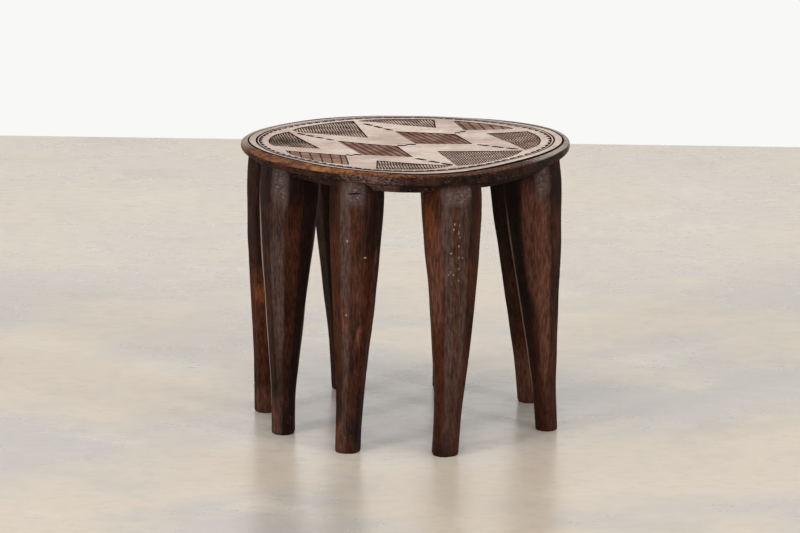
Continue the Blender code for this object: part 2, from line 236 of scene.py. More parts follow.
def add_object(name, data):
    """Put a mesh, curve, lamp or camera into the scene."""
    item = bpy.data.objects.new(name, data)
    bpy.context.scene.collection.objects.link(item)
    return item


def place_piece(name, mesh, finish, smooth_angle=40.0):
    """Shade a piece, give it its finish and let it ride on the stool."""
    piece = add_object(name, mesh)
    mesh.shade_smooth()
    mesh.set_sharp_from_angle(angle=math.radians(smooth_angle))
    mesh.materials.append(finish)
    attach(piece, "root")
    return piece


def sleeve_faces(rows, columns):
    """Quads of a tube of rows that closes round its columns, and a fan to a pole vertex at each end."""
    row, column = np.meshgrid(np.arange(rows - 1), np.arange(columns), indexing="ij")
    after = (column + 1) % columns
    quads = np.stack((row * columns + column, row * columns + after,
                      (row + 1) * columns + after, (row + 1) * columns + column), axis=-1)
    ring = np.arange(columns)
    following = (ring + 1) % columns
    first, last = rows * columns, rows * columns + 1
    start = np.stack((following, ring, np.full(columns, first)), axis=-1)
    base = (rows - 1) * columns
    end = np.stack((base + ring, base + following, np.full(columns, last)), axis=-1)
    return quads.reshape(-1, 4).tolist() + start.tolist() + end.tolist()


def bell(angle, middle, half):
    """Bell curve round the seat: 1 at the middle direction. That and the half width are in degrees."""
    away = np.mod(angle - math.radians(middle) + np.pi, 2 * np.pi) - np.pi
    return np.exp(-(away / math.radians(half)) ** 2)


def field_edge(angle):
    """Radius of the field's edge: it bulges at the front left."""
    return SEAT_RADIUS * (FIELD_EDGE_SHARE + FIELD_BULGE_SHARE * bell(angle, *FIELD_BULGE_DIRECTION))


def inwards(angle, strays):
    """Share of the radius by which a ring strays inwards: a sum of bell curves."""
    return sum(depth * bell(angle, middle, half) for middle, half, depth in strays)


def inner_groove_half(angle):
    """Half width of the inner groove: thinner at the right end."""
    return INNER_GROOVE_HALF * (1.0 - 0.2 * bell(angle, 8.0, 30.0))


def outer_groove_half(angle):
    """Half width of the outer groove: widest at the front right, thinnest at the left."""
    ends = 0.25 * bell(angle, 5.0, 28.0) + 0.4 * bell(angle, 165.0, 42.0)
    return OUTER_GROOVE_HALF * (1.0 + 0.4 * bell(angle, 322.0, 22.0) - ends)


def tooth_ends(angle):
    """Shares of the radius where the notches start and end: they are longer at the front and the rear."""
    shift = inwards(angle, TOOTH_STRAYS)
    inner, outer = TOOTH_SHARES
    return inner - TOOTH_FRONT_REACH_SHARE * np.sin(angle) ** 2 - shift, outer - shift


def tooth_cut(angle, share):
    """Depth share of the sawtooth notches.

    Each pitch holds one leaning triangle, wide at its outer base and closed at
    its inner tip, which is blunt at the front and the rear. The cut deepens with
    the distance inside the triangle's sides and fades towards the tip. The
    pitches crowd together at the left end.
    """
    pitch = 2 * np.pi / TOOTH_COUNT
    turn = np.mod(angle / pitch - TOOTH_CROWDING * np.sin(angle), TOOTH_COUNT)
    index = np.minimum(np.floor(turn).astype(int), TOOTH_COUNT - 1)
    stray = np.random.default_rng(7).uniform(-TOOTH_STRAY_SHARE, TOOTH_STRAY_SHARE, (2, TOOTH_COUNT))
    inner, outer = tooth_ends(angle)
    way = (share - inner) / (outer - inner)
    sides = []
    for tip, growth, base in zip(TOOTH_TIP_SHARES, TOOTH_TIP_GROWTHS, TOOTH_SPAN_SHARES):
        start = tip + growth * np.sin(angle) ** 2 + stray[0][index]
        sides.append(start + (base + stray[1][index] - start) * way)
    left, right = sides
    within = np.minimum(turn - index - left, right - (turn - index)) * pitch * share * SEAT_RADIUS
    within = np.minimum(within, (outer - share) * SEAT_RADIUS)
    cut = np.clip(within / CUT_SOFTNESS, 0.0, 1.0) * (0.75 + 0.25 * np.clip(way, 0.0, 1.0))
    return np.where((way >= 0.0) & (way <= 1.0), cut, 0.0)


def board_rows(angle):
    """Radius, height, depth of cut and zone of each row of the seat board, from the sunk floor over the rim.

    A row is a ring. The rows run from the floor under the straps over the inner
    band, the notches, the two grooves and the rim, then in along the underside.
    The zone is 0 on the inner light band, 0.1 on the outer one, 1 on the rim's
    top and 2 below it.
    """
    rows = []

    def ring(radius, height, cut=0.0, zone=0.0):
        rows.append(np.broadcast_arrays(radius, height, cut, zone, angle)[:4])

    def top_ring(radius, depth=0.0, cut=0.0, zone=0.0):
        ring(radius, -top_fall(radius / SEAT_RADIUS) - depth, cut, zone)

    def flat_rows(start, stop, ways, zone=0.0):
        for way in ways:
            top_ring(start + (stop - start) * way, zone=zone)

    def groove_rows(middle, half, zone):
        for way in GROOVE_WAYS:
            deep = max(0.0, 1.0 - way ** 2)
            top_ring(middle + way * half, GROOVE_DEPTH * deep, deep ** 0.25, zone * smooth(way, -0.6, 1.0))

    edge = field_edge(angle)
    for share in FLOOR_ROW_SHARES:
        ring(share * SEAT_RADIUS, -FLOOR_DEPTH, 1.0)
    ring(edge - 0.0002, -FLOOR_DEPTH, 1.0)
    for beyond, height in FIELD_STEPS:
        ring(edge + beyond, height)
    tips, bases = tooth_ends(angle)
    flat_rows(edge, tips * SEAT_RADIUS, BAND_WAYS)
    for way in TOOTH_WAYS:
        share = tips + (bases - tips) * way
        cut = tooth_cut(angle, share)
        top_ring(share * SEAT_RADIUS, TOOTH_DEPTH * cut, cut)

    inner = SEAT_RADIUS * (INNER_GROOVE_SHARE - inwards(angle, INNER_GROOVE_STRAYS))
    inner_half = inner_groove_half(angle)
    outer = SEAT_RADIUS * (OUTER_GROOVE_SHARE - inwards(angle, OUTER_GROOVE_STRAYS))
    outer_half = outer_groove_half(angle)
    centre = SEAT_RADIUS - RIM_ROUNDING
    groove_rows(inner, inner_half, 0.0)
    flat_rows(inner + GROOVE_WAYS[-1] * inner_half, outer + GROOVE_WAYS[0] * outer_half, TOP_WAYS, 0.1)
    groove_rows(outer, outer_half, 1.0)
    flat_rows(outer + GROOVE_WAYS[-1] * outer_half, centre, TOP_WAYS, 1.0)

    for turn in np.linspace(90.0, 0.0, 7):
        bend = math.radians(turn)
        fall = RIM_FALL * smooth(turn, 130.0, 80.0)
        height = RIM_ROUNDING * (math.sin(bend) - 1.0) - fall
        ring(centre + RIM_ROUNDING * math.cos(bend), height, 0.0, 2.0 - turn / 90.0)
    for way in BAND_WAYS:
        ring(SEAT_RADIUS, -RIM_FALL - RIM_ROUNDING - way * (RIM_DEPTH - 2 * RIM_ROUNDING), 0.0, 2.0)
    for bend in np.radians(np.linspace(0.0, -90.0, 6)):
        height = -RIM_BOTTOM + RIM_ROUNDING * (1.0 + math.sin(bend))
        ring(centre + RIM_ROUNDING * math.cos(bend), height, 0.0, 2.0)
    for share in UNDERSIDE_ROW_SHARES:
        ring(share * SEAT_RADIUS, -underside_drop(share), 0.0, 2.0)
    return np.array(rows)


def rim_dents(places, zone):
    """Share of the radius lost at the rim's side: shallow hewn flats and a few sharper dents."""
    flats = RIM_FLAT_SHARE * (1.0 - lumps(places, (0.030, 0.030, 0.018), 21)) / 2
    dents = RIM_DENT_SHARE * np.maximum(0.0, lumps(places, (0.007, 0.007, 0.005), 22) - 0.62)
    return smooth(zone, 1.0, 1.5) * (flats + dents)


def seat_board(finish):
    """The seat's body: rows of rings, each ring a circle of columns, carried to the hand-cut plan."""
    columns = TOOTH_COUNT * TOOTH_COLUMNS
    angle = np.arange(columns) * 2 * np.pi / columns
    radius, height, cut, zone = np.moveaxis(board_rows(angle), 1, 0)
    places = on_seat(radius * np.cos(angle), radius * np.sin(angle), height)
    places[..., :2] *= (1.0 - rim_dents(places, zone))[..., None]
    rough = UNDERSIDE_ROUGHNESS * np.maximum(0.0, lumps(places, 0.022, 11))
    places[..., 2] += rough * (height < -RIM_BOTTOM)
    poles = on_seat(np.zeros(2), np.zeros(2), np.array((-FLOOR_DEPTH, -SEAT_THICKNESS)))
    points = np.concatenate((places.reshape(-1, 3), poles))
    mesh = new_mesh("seat_board", points, sleeve_faces(*radius.shape))
    mark(mesh, "cut", np.append(cut.ravel(), (1.0, 0.0)))
    mark(mesh, "zone", np.append(zone.ravel(), (0.0, 2.0)))
    piece = place_piece("seat_board", mesh, finish)
    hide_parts("seat")


class Wire:
    """One output in a tree of nodes. Plain maths on it adds the nodes that do that maths."""

    def __init__(self, nodes, socket):
        self.nodes = nodes
        self.socket = socket

    def __add__(self, other):
        return self.nodes.maths("ADD", self, other)

    def __sub__(self, other):
        return self.nodes.maths("SUBTRACT", self, other)

    def __mul__(self, other):
        return self.nodes.maths("MULTIPLY", self, other)

    def __rsub__(self, other):
        return self.nodes.maths("SUBTRACT", other, self)

    def __pow__(self, other):
        return self.nodes.maths("POWER", self, other)

    __radd__ = __add__
    __rmul__ = __mul__


def tone(red, green, blue):
    """Linear colour of a tone given from 0 to 255 as it should look."""
    share = np.array((red, green, blue)) / 255.0
    linear = np.where(share <= 0.04045, share / 12.92, ((share + 0.055) / 1.055) ** 2.4)
    return (*linear.tolist(), 1.0)


class Nodes:
    """A tree of nodes that grows by maths and by the method node."""

    def __init__(self, tree):
        self.tree = tree

    def feed(self, socket, value):
        """Give a socket a link or a value."""
        if isinstance(value, Wire):
            self.tree.links.new(value.socket, socket)
        else:
            socket.default_value = value

    def node(self, kind, settings=None, values=None, out=0):
        """Add a node: its settings first, then the values or links of its sockets."""
        made = self.tree.nodes.new(kind)
        for name, value in (settings or {}).items():
            setattr(made, name, value)
        for key, value in (values or {}).items():
            self.feed(made.inputs[key], value)
        return Wire(self, made.outputs[out])

    def maths(self, operation, first, second):
        return self.node("ShaderNodeMath", {"operation": operation}, {0: first, 1: second})


class Finish(Nodes):
    """A wood, floor or wall finish."""

    def __init__(self, name):
        self.material = bpy.data.materials.new(name)
        self.material.use_nodes = True
        super().__init__(self.material.node_tree)
        self.shader = self.tree.nodes["Principled BSDF"]
        self.place = self.node("ShaderNodeTexCoord", out="Object")

    def axes(self):
        """X, Y and Z of the object's own place."""
        parts = self.node("ShaderNodeSeparateXYZ", {}, {0: self.place})
        return [Wire(self, output) for output in parts.socket.node.outputs]

    def mix(self, share, first, second):
        """Blend two colours by a share from 0 to 1."""
        return self.node("ShaderNodeMix", {"data_type": "RGBA"}, {0: share, 6: first, 7: second}, out=2)

    def step(self, value, low, high):
        """Smooth step of a value from 0 at low to 1 at high."""
        settings = {"interpolation_type": "SMOOTHSTEP"}
        return self.node("ShaderNodeMapRange", settings, {"Value": value, 1: low, 2: high, 3: 0.0, 4: 1.0})

    def blend(self, value, edges, first, second):
        """Blend two tones by the smooth step of a value between two edges."""
        return self.mix(self.step(value, *edges), tone(*first), tone(*second))

    def coats(self, color, *rows):
        """Lay tones over a colour. A row holds a value, its step's edges, a strength and the tone."""
        for value, edges, strength, over in rows:
            color = self.mix(strength * self.step(value, *edges), color, tone(*over))
        return color

    def noise(self, scale, stretch=(1.0, 1.0, 1.0), detail=3.0, roughness=0.55):
        """Noise from about 0 to 1 over the object's own place, stretched along its grain."""
        place = self.node("ShaderNodeMapping", {}, {"Vector": self.place, "Scale": stretch})
        values = {"Vector": place, "Scale": scale, "Detail": detail, "Roughness": roughness}
        return self.node("ShaderNodeTexNoise", {}, values)

    def read(self, name):
        """A number stored on each vertex by the function mark."""
        return self.node("ShaderNodeAttribute", {"attribute_name": name}, out="Fac")

    def bump(self, height, distance):
        return self.node("ShaderNodeBump", {}, {"Height": height, "Distance": distance})

    def finished(self, **values):
        """Give the shader's sockets their links and values, and hand over the material."""
        for name, value in values.items():
            self.feed(self.shader.inputs[name.replace("_", " ")], value)
        return self.material


def scrubbed_color(finish):
    """Pale scrubbed wood: streaks along X over soft patches from pinkish grey to cream, with dark pores."""
    streaks = finish.noise(1.0, (22.0, 420.0, 60.0), 4.0)
    fibres = finish.noise(1.0, (90.0, 1500.0, 200.0), 3.0)
    patches = finish.noise(14.0, (0.6, 1.0, 1.0), 4.0)
    tint = finish.noise(9.0, (0.5, 1.3, 1.0), 3.0)
    smudges = finish.noise(100.0, (0.7, 1.0, 1.0), 5.0, roughness=0.65)
    pores = finish.noise(1.0, (140.0, 620.0, 200.0), 2.0)
    pink = finish.blend(patches, (0.34, 0.66), (170, 150, 143), (198, 181, 174))
    cream = finish.blend(patches, (0.34, 0.66), (178, 158, 145), (202, 186, 173))
    color = finish.coats(
        finish.mix(finish.step(tint, 0.42, 0.60), pink, cream),
        (smudges, (0.54, 0.70), 0.55, (150, 128, 119)),
        (smudges, (0.44, 0.32), 0.60, (224, 211, 203)),
        (streaks, (0.48, 0.70), 0.45, (132, 106, 90)),
        (pores, (0.66, 0.74), 0.55, (92, 70, 58)),
        (fibres, (0.52, 0.75), 0.35, (142, 120, 106)),
    )
    return color, streaks, fibres


def scrubbed_finish():
    finish = Finish("scrubbed_top_wood")
    color, streaks, fibres = scrubbed_color(finish)
    cut = finish.read("cut")
    return finish.finished(
        Base_Color=finish.mix(cut, color, tone(20, 12, 9)),
        Roughness=finish.maths("MAXIMUM", 0.62 + 0.18 * fibres, cut),
        Normal=finish.bump(streaks + 0.6 * fibres, 0.00022),
        Specular_IOR_Level=0.3)


def board_finish():
    """Light bands, dark cuts and a brown rim.

    The rim's top is golden at the front left, with a painted highlight there,
    reddish along the front, and lighter towards both ends in painted highlight.
    Its side is dark and scuffed at the front, and darker at the right in painted
    shade. Its ends are worn and carry a painted highlight, warm at the left and
    grey at the right; that grey also runs along the top at the front right.
    """
    finish = Finish("seat_board_wood")
    light, streaks, _ = scrubbed_color(finish)
    cut = finish.read("cut")
    zone = finish.read("zone")
    x, y, _ = finish.axes()
    mottle = finish.noise(60.0, (1.0, 1.0, 1.0), 5.0)
    fine = finish.noise(260.0, (1.0, 1.0, 2.5), 3.0)
    flecks = finish.noise(420.0, (1.0, 1.0, 1.6), 2.0)

    front_left = finish.step(-0.62 * x - 0.78 * y, 0.140, 0.192)
    front = finish.step(-0.2 * x - 1.0 * y, 0.03, 0.12)
    right = finish.step(x + 0.25 * y, 0.182, 0.204)
    left = finish.step(-1.0 * x, 0.196, 0.209)
    middle = finish.step((x + 0.045) * (x + 0.045), 0.0020, 0.0004)
    brown = finish.coats(
        finish.blend(mottle, (0.35, 0.65), (76, 54, 44), (122, 98, 86)),
        # painted highlight: the rim's top lighter grey towards both ends
        (x * x, (0.012, 0.030), 0.7, (168, 156, 149)),
    )
    golden = finish.coats(
        finish.blend(fine, (0.36, 0.64), (72, 38, 14), (134, 80, 34)),
        # painted highlight: a bright golden spot on the rim's top at the front left
        ((x + 0.11) * (x + 0.11), (0.0005, 0.0), 0.5, (168, 114, 58)),
        (mottle, (0.46, 0.60), 0.75, (50, 25, 15)),
    )
    reddish = finish.blend(fine, (0.40, 0.66), (38, 20, 13), (98, 58, 40))
    side = finish.coats(
        finish.blend(mottle, (0.38, 0.64), (20, 10, 7), (54, 33, 25)),
        (fine, (0.56, 0.72), 0.45, (106, 70, 54)),
        # painted shade: the rim's side darker towards the right
        (x, (0.04, 0.12), 0.4, (18, 10, 8)),
        (fine, (0.38, 0.62), 0.55 * middle * front, (126, 101, 95)),
        (flecks, (0.66, 0.74), 0.7, (176, 144, 120)),
    )
    # Tones of the rim's worn ends, which also stand for a painted highlight there: grey at the right, warm
    # at the left
    grey_end_wear_and_highlight = finish.blend(fine, (0.36, 0.66), (88, 75, 67), (154, 141, 133))
    warm_end_wear_and_highlight = finish.blend(fine, (0.36, 0.66), (92, 62, 44), (160, 128, 104))

    top = finish.mix(front, brown, reddish)
    top = finish.mix(front_left * finish.step(zone, 0.70, 1.0), top, golden)
    rim = finish.mix(finish.step(zone + 0.7 * mottle - 0.35, 1.15, 1.65), top, side)
    # Breakup of the worn rim ends and their painted highlight
    wear_and_highlight = finish.step(mottle, 0.34, 0.54)
    rim = finish.mix(0.85 * right * wear_and_highlight, rim, grey_end_wear_and_highlight)
    rim = finish.mix(0.65 * left * wear_and_highlight, rim, warm_end_wear_and_highlight)
    # Grey of wear and painted highlight along the rim's top at the front right
    top_wear_and_highlight = finish.step(x + 0.25 * y, 0.105, 0.165) * finish.step(zone, 1.35, 1.05)
    rim = finish.mix(0.65 * top_wear_and_highlight * finish.step(fine, 0.34, 0.60), rim, grey_end_wear_and_highlight)
    outer_left = finish.step(zone, 0.02, 0.08)
    light = finish.coats(light, (-1.0 * x, (0.05, 0.17), 0.30 * outer_left, (132, 114, 106)))
    color = finish.mix(finish.step(zone, 0.15, 0.65), light, rim)
    return finish.finished(
        Base_Color=finish.coats(color, (cut, (0.01, 0.18), 1.0, (9, 5, 4))),
        Roughness=finish.maths("MAXIMUM", 0.46 + 0.3 * mottle, cut),
        Normal=finish.bump(streaks + mottle + 0.6 * fine, 0.0004),
        Specular_IOR_Level=0.11)


# Marks on the front legs' outer sides, in metres: x, height, half width, half height.
DARK_CHECKS = ((-0.0631, 0.3364, 0.0080, 0.0011),)
PALE_NICKS = (
    (-0.0726, 0.2761, 0.0013, 0.0016), (-0.0503, 0.2545, 0.0018, 0.0011), (-0.0741, 0.1805, 0.0013, 0.0013),
    (0.0613, 0.2985, 0.0006, 0.0018), (0.0601, 0.2921, 0.0010, 0.0011), (0.0664, 0.2878, 0.0006, 0.0026),
    (0.0664, 0.2706, 0.0007, 0.0016), (0.0570, 0.2617, 0.0010, 0.0012), (0.0664, 0.2560, 0.0006, 0.0014),
    (0.0664, 0.2414, 0.0008, 0.0012), (0.0565, 0.2376, 0.0010, 0.0014), (0.0665, 0.2261, 0.0006, 0.0012),
    (0.0597, 0.2342, 0.0009, 0.0008), (0.0538, 0.2344, 0.0007, 0.0007), (0.0711, 0.2554, 0.0007, 0.0009),
    (0.0569, 0.2494, 0.0006, 0.0010), (0.0674, 0.2969, 0.0005, 0.0012), (0.0674, 0.2817, 0.0006, 0.0015),
)


def marks(finish, places):
    """Share from 0 to 1 of small marks: inside each ellipse of x and height, on the side of -Y."""
    x, y, z = finish.axes()
    total = 0.0
    for place_x, place_z, half_x, half_z in places:
        away = ((x - place_x) * (1 / half_x)) ** 2 + ((z - place_z) * (1 / half_z)) ** 2
        total = total + finish.step(away, 1.3, 0.5)
    return total * finish.step(y, -0.17, -0.19)


# Dark and light tones of the legs' grain: ground, red-brown, grey of the painted sheen, warm tone of wear
# with a painted highlight, orange.
GRAIN_TONES = (
    ((19, 9, 6), (42, 20, 14)),
    ((46, 20, 10), (86, 45, 25)),
    ((58, 42, 37), (92, 71, 63)),
    ((68, 38, 28), (112, 72, 56)),
    ((74, 36, 18), (124, 68, 34)),
)


def leg_finish(name):
    """Dark oiled wood.

    Red-brown grain turns grey in a painted sheen on some flats, and glows on
    places that are worn and also carry a painted highlight. It darkens in
    painted shade towards the foot and on the shaded flanks. Tops and arrises
    are rubbed pale, and two edges carry a thin painted highlight.
    """
    finish = Finish(name)
    grain = finish.noise(1.0, (420.0, 420.0, 70.0), 5.0)
    fine = finish.noise(1.0, (900.0, 900.0, 60.0), 3.0)
    patches = finish.noise(15.0, (1.0, 1.0, 0.5), 5.0)
    blotches = finish.noise(75.0, (1.0, 1.0, 0.6), 4.0)
    streaks = finish.noise(1.0, (560.0, 560.0, 240.0), 5.0, roughness=0.7)
    specks = finish.noise(300.0, (1.0, 1.0, 0.5), 2.0)
    chatter = finish.noise(330.0, (0.8, 1.0, 1.0), 5.0, roughness=0.75)
    painted_sheen, wear_and_highlight, orange_glow, shaded, arris, rubbed, edge = (
        finish.read(kind) for kind in ("painted_sheen", "wear_and_highlight", "orange", "shaded", "arris", "rubbed", "edge"))
    height = finish.axes()[2]

    dark, red, grey, glow, orange = (finish.blend(grain, (0.30, 0.70), *tones) for tones in GRAIN_TONES)
    color = finish.mix(finish.step(patches, 0.36, 0.58), dark, red)
    # painted sheen: a grey tone on the flats where they would reflect the soft light
    color = finish.mix(finish.step(painted_sheen + 0.4 * patches, 0.30, 1.05), color, grey)
    # wear with a painted highlight: a lighter warm tone on worn and lit places
    color = finish.mix(finish.step(wear_and_highlight + 0.5 * blotches, 0.30, 1.20), color, glow)
    color = finish.mix(0.90 * finish.step(orange_glow + 1.1 * blotches, 0.66, 1.55), color, orange)
    color = finish.coats(
        color,
        (streaks, (0.48, 0.64), 0.36 - 0.16 * wear_and_highlight, (20, 10, 7)),
        (blotches, (0.55, 0.75), 0.34, (22, 11, 8)),
        # painted shade: darker towards the foot
        (height, (0.16, 0.03), 0.28, (18, 9, 6)),
    )
    color = finish.mix(0.68 * shaded, color, tone(11, 6, 4))
    color = finish.coats(
        color,
        (arris * blotches, (0.30, 0.65), 0.4, (104, 66, 48)),
        (specks, (0.66, 0.76), 0.35, (118, 80, 62)),
        (rubbed + 0.9 * chatter, (0.85, 1.70), 0.80, (92, 77, 74)),
        (rubbed * chatter, (0.48, 0.70), 0.60, (146, 130, 124)),
        (rubbed * (1.0 - chatter), (0.50, 0.64), 0.55, (42, 26, 22)),
        # painted highlight: a thin light line down one leg edge, where it would catch light at a grazing
        # angle
        (edge + 0.5 * blotches, (0.70, 1.20), 0.8, (158, 136, 122)),
        (chatter, (0.36, 0.54), 0.85 * marks(finish, PALE_NICKS), (186, 156, 134)),
    )
    return finish.finished(
        Base_Color=finish.mix(marks(finish, DARK_CHECKS), color, tone(8, 5, 4)),
        Roughness=0.52 + 0.20 * fine + 0.20 * finish.step(blotches, 0.5, 0.8),
        Normal=finish.bump(grain + 0.5 * fine + blotches + streaks, 0.0004),
        Specular_IOR_Level=0.12)


# Panels of the field: corners in shares of the radius. An edge panel runs out
# to the field's edge, from its last corner round to its first.
PANELS = {
    "panel_left_middle": ((-0.418, 0.066), (-0.260, -0.373), (0.046, -0.433), (-0.051, -0.080)),
    "panel_right_middle": ((-0.066, 0.411), (0.066, -0.007), (0.411, -0.044), (0.308, 0.308)),
    "panel_rear_right": ((0.308, 0.770), (0.367, 0.418), (0.675, 0.418)),
    "panel_front_left": ((-0.337, -0.697), (-0.359, -0.396), (-0.720, -0.300)),
    "panel_left": ((-0.785, -0.176), (-0.513, -0.205), (-0.719, 0.308)),
    "panel_rear_left": ((-0.704, 0.352), (-0.660, 0.308), (-0.227, 0.183), (-0.323, 0.741)),
    "panel_rear": ((-0.300, 0.730), (-0.190, 0.697), (0.191, 0.513), (0.183, 0.785)),
    "panel_right": ((0.763, 0.315), (0.499, 0.301), (0.726, -0.286)),
    "panel_front_right": ((0.711, -0.301), (0.191, -0.242), (0.308, -0.726)),
    "panel_front": ((0.279, -0.711), (-0.172, -0.543), (-0.172, -0.792)),
}
INNER_PANELS = ("panel_left_middle", "panel_right_middle")
ARC_STEP = math.radians(3.0)
ARC_BULGE = 0.030
ARC_BULGES = {"panel_front_left": 0.0415}
# Rows of chopped dashes along the straps: from, to, and the number of dashes.
DASH_ROWS = (
    ((-0.672, 0.275), (-0.432, 0.074), 4),
    ((-0.262, 0.660), (-0.075, 0.430), 3),
    ((0.430, -0.054), (0.690, -0.262), 3),
    ((0.055, -0.462), (0.285, -0.705), 3),
)
DASH_LENGTH_SHARE = 0.90
DASH_SHOULDER_SHARE = 0.7
DASH_WIDTH = 0.0064
# Zigzags where two straps meet: from, to, and the number of strokes.
ZIGZAGS = (
    ((-0.042, -0.074), (0.058, -0.020), 3),
    ((0.316, 0.338), (0.364, 0.392), 3),
    ((-0.356, -0.392), (-0.268, -0.367), 3),
)
ZIGZAG_SWING = 0.0050
ZIGZAG_WIDTH = 0.0075


def panel_outline(name):
    """Corners of a panel in metres, with an edge panel's stretch of the field's edge as an arc."""
    corners = np.array(PANELS[name]) * SEAT_RADIUS
    if name in INNER_PANELS:
        return corners
    start = math.atan2(corners[-1][1], corners[-1][0])
    end = math.atan2(corners[0][1], corners[0][0])
    sweep = (end - start + math.pi) % (2 * math.pi) - math.pi
    way = np.linspace(0.0, 1.0, max(2, round(abs(sweep) / ARC_STEP)))
    radius = np.hypot(*corners[-1]) * (1 - way) + np.hypot(*corners[0]) * way
    angle = start + sweep * way
    bulge = ARC_BULGES.get(name, ARC_BULGE)
    radius = np.minimum(radius + bulge * way * (1 - way), field_edge(angle))
    arc = radius * np.stack((np.cos(angle), np.sin(angle)))
    return np.concatenate((corners[1:-1], arc.T))


def stretch(start, stop):
    """Both ends of a stretch in metres, and the unit step to its side."""
    first, last = np.array(start) * SEAT_RADIUS, np.array(stop) * SEAT_RADIUS
    along = (last - first) / np.linalg.norm(last - first)
    return first, last, np.array((-along[1], along[0]))


def dash_outlines():
    """Long narrow chops with pointed ends, set in rows along the straps."""
    outlines = []
    for start, stop, count in DASH_ROWS:
        first, last, aside = stretch(start, stop)
        step = (last - first) / count
        half = step * DASH_LENGTH_SHARE / 2
        shoulder = DASH_SHOULDER_SHARE * half
        side = aside * DASH_WIDTH / 2
        chop = np.array((-half, -shoulder - side, shoulder - side, half, shoulder + side, side - shoulder))
        outlines += [first + step * (index + 0.5) + chop for index in range(count)]
    return outlines


def zigzag_outlines():
    """Thin zigzag cuts: a broken line carried from its start to its end, with two sides."""
    outlines = []
    for start, stop, strokes in ZIGZAGS:
        first, last, aside = stretch(start, stop)
        way = np.linspace(0.0, 1.0, strokes + 1)[:, None]
        swing = ZIGZAG_SWING / 2 * (-1.0) ** np.arange(strokes + 1)[:, None]
        line = first + (last - first) * way + aside * swing
        side = np.array((0.0, ZIGZAG_WIDTH / 2))
        outlines.append(np.concatenate((line - side, (line + side)[::-1])))
    return outlines


def strap_body():
    """Plate of the straps: a disc with panel-shaped openings, cut on a lattice so that it can bend."""
    curve = bpy.data.curves.new("straps", "CURVE")
    curve.dimensions = "2D"
    curve.fill_mode = "BOTH"
    curve.extrude = STRAP_THICKNESS / 2 - STRAP_EDGE
    curve.bevel_depth = STRAP_EDGE
    curve.bevel_resolution = 1
    curve.offset = -STRAP_EDGE
    turn = np.linspace(0.0, 2 * np.pi, STRAP_SIDES, endpoint=False)
    radius = (field_edge(turn) + tooth_ends(turn)[0] * SEAT_RADIUS) / 2
    disc = radius[:, None] * np.stack((np.cos(turn), np.sin(turn)), axis=-1)
    for outline in [disc] + [panel_outline(name) for name in PANELS] + dash_outlines() + zigzag_outlines():
        spline = curve.splines.new("POLY")
        spline.points.add(len(outline) - 1)
        spline.use_cyclic_u = True
        flat = np.zeros((len(outline), 4))
        flat[:, :2] = outline
        flat[:, 3] = 1.0
        spline.points.foreach_set("co", flat.ravel())
    holder = add_object("straps", curve)
    bpy.context.view_layer.update()
    mesh = bpy.data.meshes.new_from_object(holder.evaluated_get(bpy.context.evaluated_depsgraph_get()))
    bpy.data.objects.remove(holder)
    body = bmesh.new()
    body.from_mesh(mesh)
    bmesh.ops.remove_doubles(body, verts=body.verts, dist=0.00001)
    reach = radius.max()
    for cut in np.arange(-reach + STRAP_LATTICE / 2, reach, STRAP_LATTICE):
        for place, normal in (((cut, 0.0, 0.0), (1.0, 0.0, 0.0)), ((0.0, cut, 0.0), (0.0, 1.0, 0.0))):
            everything = body.verts[:] + body.edges[:] + body.faces[:]
            bmesh.ops.bisect_plane(body, geom=everything, dist=0.000001, plane_co=place, plane_no=normal)
    bmesh.ops.recalc_face_normals(body, faces=body.faces)
    body.to_mesh(mesh)
    body.free()
    return mesh


def field_straps(finish):
    """The raised light straps, bent to the seat's dish and plan."""
    mesh = strap_body()
    flat = np.zeros(len(mesh.vertices) * 3)
    mesh.vertices.foreach_get("co", flat)
    x, y, z = flat.reshape(-1, 3).T
    places = on_seat(x, y, z - STRAP_THICKNESS / 2 - STRAP_SINK)
    mesh.vertices.foreach_set("co", places.ravel())
    mesh.update()
    mark(mesh, "cut", smooth(z, STRAP_THICKNESS / 2 - STRAP_EDGE * 0.2, STRAP_THICKNESS / 2 - STRAP_EDGE))
    piece = place_piece("field_straps", mesh, finish, 30.0)
    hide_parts("seat")


HATCH_CUT_SHARE = 0.72
HATCH_STRAY_SHARE = 0.22
RIB_STRAY_SHARE = 0.10


def edge_distance(x, y, outline):
    """Distance of points from a closed outline, below zero outside it."""
    best = np.full(x.shape, np.inf)
    inside = np.zeros(x.shape, dtype=bool)
    for start, end in zip(outline, np.roll(outline, -1, axis=0)):
        run = end - start
        way = ((x - start[0]) * run[0] + (y - start[1]) * run[1]) / (run @ run)
        way = np.clip(way, 0.0, 1.0)
        best = np.minimum(best, np.hypot(x - start[0] - way * run[0], y - start[1] - way * run[1]))
        crosses = (start[1] > y) != (end[1] > y)
        rise = np.where(run[1] == 0.0, 1.0, run[1])
        inside ^= crosses & (x < start[0] + (y - start[1]) * run[0] / rise)
    return np.where(inside, best, -best)


def ribbed(x, y, lean, pitch, seed, power):
    """Height share of ribs: ridges parallel to a lean, parted by V cuts, and flatter at a high power."""
    across = x * math.sin(lean) - y * math.cos(lean)
    stray = RIB_STRAY_SHARE * pitch * flat_lumps(x, y, 0.030, seed)
    way = np.mod((across + stray) / pitch, 1.0)
    return 1.0 - np.abs(2.0 * way - 1.0) ** power


